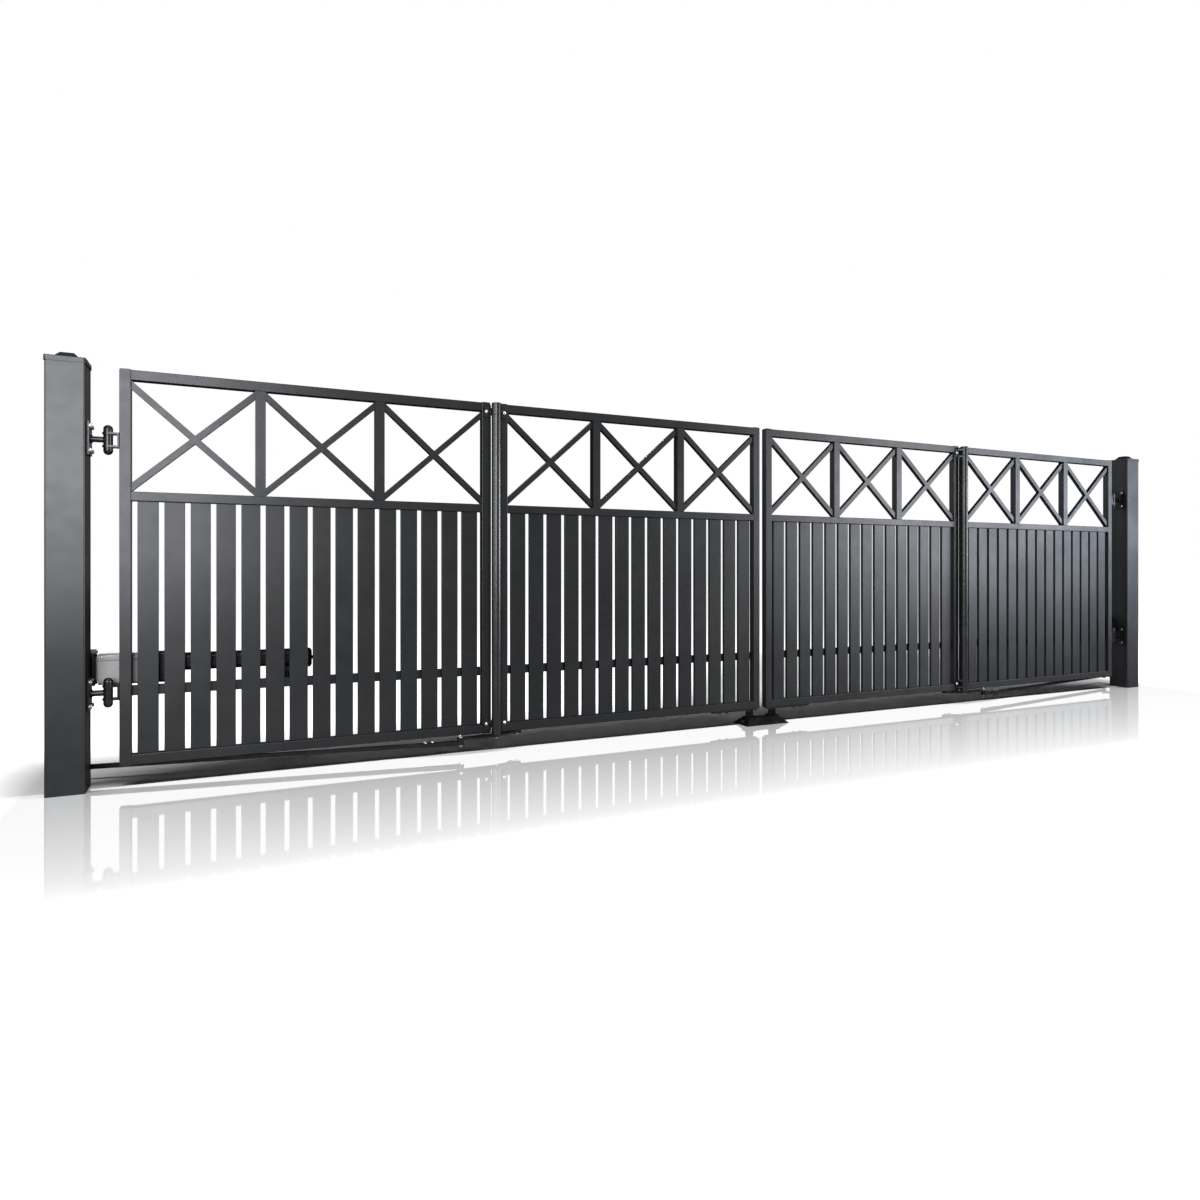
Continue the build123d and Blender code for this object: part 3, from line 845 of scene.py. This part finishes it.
# Stop legs and floor stop: lock nuts, rubber feet, plate bolts, pads and anchor bolts
stopLook = {
    "legs": (3.1365, 3.1620), "plateLow": 0.076, "bolts": (2.954, 3.000), "footLow": 0.0384,
    "padTop": 0.034, "padX": 0.0775, "padSize": (0.064, 0.052, 0.0016), "padCorner": 0.006, "padEdge": 0.0006,
    "anchorX": 0.1215, "anchorZ": 0.0157, "slope": 40.4,
    "foot": (
        (0.0098, 0), (0.0114, 0.0016), (0.0118, 0.0100), (0.0112, 0.0120), (0.0112, 0.0255), (0.0100, 0.0266),
    ),
}


def dressStop(look):
    nuts = placeCopies("nuts", lockNut, [((x, 0, look["plateLow"]), "down") for x in look["legs"]])
    bolts = placeCopies("bolts", hexBolt, [((x, 0, look["plateLow"]), "down") for x in look["bolts"]])
    finishPair(joinPieces("legBolts", [nuts, bolts]), "leg_bolts", "bracket_steel", "outer_leaf")
    foot = keepPattern(turnPiece("foot", 24, look["foot"]))
    feet = placeCopies("feet", foot, [((x, 0, look["footLow"]), "up") for x in look["legs"]])
    finishPair(feet, "leg_feet", "stop_black", "outer_leaf")
    wide, deep, thick = look["padSize"]
    padX = gateCentre - look["padX"]
    low, top = look["padTop"], look["padTop"] + thick
    pad = makeBlock("pad", (padX - wide / 2, -deep / 2, low), (padX + wide / 2, deep / 2, top))
    pad = bevelEdges(pad, look["padCorner"], 3, upright)
    pad = bevelEdges(pad, look["padEdge"], 2, lambda middle, along: middle.z > top - tiny)
    finishPair(pad, "stop_pad", "stop_black", "fixed")
    spot = ((gateCentre - look["anchorX"], 0, look["anchorZ"]), (0, -look["slope"], 0))
    finishPair(placeCopies("anchor", buttonBolt, [spot]), "anchor_bolt", "hinge_steel", "fixed")


dressStop(stopLook)
dropPatterns()
print("stop dressed")


# Studio: pale floor, white surroundings and soft lamps, all but the top one on the gate alone
floorLook = {
    "size": 60, "colour": (0.92, 0.92, 0.92), "rough": 0.04,
    "mirror": 0.58, "mirrorFrom": -1.16, "mirrorTo": -0.02, "mirrorPower": 0.50,
    "liftNear": 1.6, "liftFar": 4.5, "alongScale": 0.42, "besideNear": 3.36, "besideFar": 3.70,
    "behindNear": 0.42, "behindFar": 0.95, "behindShift": 2.2, "shiftFrom": -0.4, "shiftTo": 2.0,
}
worldLight = 0.018
lampLooks = {
    "leftSoftbox": {"place": (-1.20, -5.2, 2.22), "aim": (-1.20, 0, 2.22), "size": (3.30, 2.95), "power": 690},
    "sideSoftbox": {"place": (-5.5, -2.0, 2.00), "aim": (1.6, 0, 2.0), "size": (1.10, 2.80), "power": 300},
    "rightSoftbox": {"place": (10.4, -5.2, 1.85), "aim": (10.4, 0, 1.85), "size": (5.4, 2.50), "power": 980},
    "farSoftbox": {"place": (16.6, -5.2, 1.85), "aim": (16.6, 0, 1.85), "size": (7.0, 2.50), "power": 6600},
    "backSoftbox": {"place": (3.2, 6.0, 4.6), "aim": (3.2, 0, 0.8), "size": (12.0, 2.6), "power": 750},
    "topSoftbox": {"place": (3.2, -1.15, 4.5), "aim": (3.2, -0.9, 0), "size": (17.0, 1.1), "power": 560},
}


def makeFloor(look):
    clearSelection()
    bpy.ops.mesh.primitive_plane_add(size=look["size"], location=(gateCentre, 0, 0))
    floor = bpy.context.object
    floor.name = "studioFloor"
    paint = Shader("paleFloor")
    paint.surface.inputs["Base Color"].default_value = (*look["colour"], 1)
    paint.surface.inputs["Roughness"].default_value = look["rough"]
    paint.surface.inputs["Specular IOR Level"].default_value = 0
    seen = paint.tree.nodes.new("ShaderNodeLightPath").outputs["Is Camera Ray"]

    # A faint mirror in front of the gate that fades out towards the camera
    split = paint.tree.nodes.new("ShaderNodeSeparateXYZ")
    paint.link(paint.place, split.inputs["Vector"])
    fade = paint.stretch(split.outputs["Y"], look["mirrorFrom"], look["mirrorTo"], 0, 1)
    front = paint.math("LESS_THAN", split.outputs["Y"], 0)
    fade = paint.math("POWER", fade, look["mirrorPower"])
    fade = paint.math("MULTIPLY", fade, look["mirror"])
    mirror = paint.math("MULTIPLY", paint.math("MULTIPLY", fade, front), seen)
    paint.link(mirror, paint.surface.inputs["Metallic"])

    # Camera-only glow, a painted light on the floor: it turns the floor white far from the gate, beside it and behind
    # it, and paints out the lamps' shadows and falloff there. Near the gate's foot it is off, so the gate's real
    # shadow stays, and behind the right half it starts further back, so the real shade there stays grey.
    reach = paint.tree.nodes.new("ShaderNodeVectorMath")
    reach.operation = "LENGTH"
    paint.link(paint.scaled((look["alongScale"], 1, 1)), reach.inputs[0])
    paintedGlow = paint.stretch(reach.outputs["Value"], look["liftNear"], look["liftFar"], 0, 1)
    shift = paint.stretch(split.outputs["X"], look["shiftFrom"], look["shiftTo"], 0, look["behindShift"])
    behind = paint.math("SUBTRACT", split.outputs["Y"], shift)
    behind = paint.stretch(behind, look["behindNear"], look["behindFar"], 0, 1)
    side = paint.math("ABSOLUTE", split.outputs["X"], 0)
    beside = paint.stretch(side, look["besideNear"], look["besideFar"], 0, 1)
    paintedGlow = paint.math("MAXIMUM", paint.math("MAXIMUM", paintedGlow, behind), beside)
    paint.surface.inputs["Emission Color"].default_value = (1, 1, 1, 1)
    # The painted glow shows to camera rays only, as emission on the floor.
    paint.link(paint.math("MULTIPLY", paintedGlow, seen), paint.surface.inputs["Emission Strength"])
    floor.data.materials.append(paint.material)


def makeLamp(name, look):
    clearSelection()
    bpy.ops.object.light_add(type="AREA", location=look["place"])
    lamp = bpy.context.object
    lamp.name = name
    lamp.data.shape = "RECTANGLE"
    lamp.data.size, lamp.data.size_y = look["size"]
    lamp.data.energy = look["power"]
    aim = Vector(look["aim"]) - Vector(look["place"])
    lamp.rotation_euler = aim.to_track_quat("-Z", "Y").to_euler()
    lamp.visible_camera = False
    if name != "topSoftbox":
        lamp.light_linking.receiver_collection = gateGroup


def makeWorld(light):
    world = bpy.data.worlds.new("whiteStudio")
    bpy.context.scene.world = world
    world.use_nodes = True
    tree = world.node_tree
    path = tree.nodes.new("ShaderNodeLightPath")
    first = tree.nodes.new("ShaderNodeMath")
    first.operation = "MAXIMUM"
    second = tree.nodes.new("ShaderNodeMath")
    second.operation = "MAXIMUM"
    strength = tree.nodes.new("ShaderNodeMapRange")
    strength.inputs["To Min"].default_value = light
    strength.inputs["To Max"].default_value = 1.0
    tree.links.new(path.outputs["Is Camera Ray"], first.inputs[0])
    tree.links.new(path.outputs["Is Glossy Ray"], first.inputs[1])
    tree.links.new(first.outputs["Value"], second.inputs[0])
    tree.links.new(path.outputs["Is Transmission Ray"], second.inputs[1])
    tree.links.new(second.outputs["Value"], strength.inputs["Value"])
    background = tree.nodes["Background"]
    background.inputs["Color"].default_value = (1, 1, 1, 1)
    tree.links.new(strength.outputs["Result"], background.inputs["Strength"])


gateGroup = bpy.data.collections.new("gateGroup")
for piece in bpy.data.objects:
    if piece.type == "MESH":
        gateGroup.objects.link(piece)
makeFloor(floorLook)
for lampName, lampLook in lampLooks.items():
    makeLamp(lampName, lampLook)
makeWorld(worldLight)
bpy.context.scene.view_settings.view_transform = "Standard"
print("studio ready")
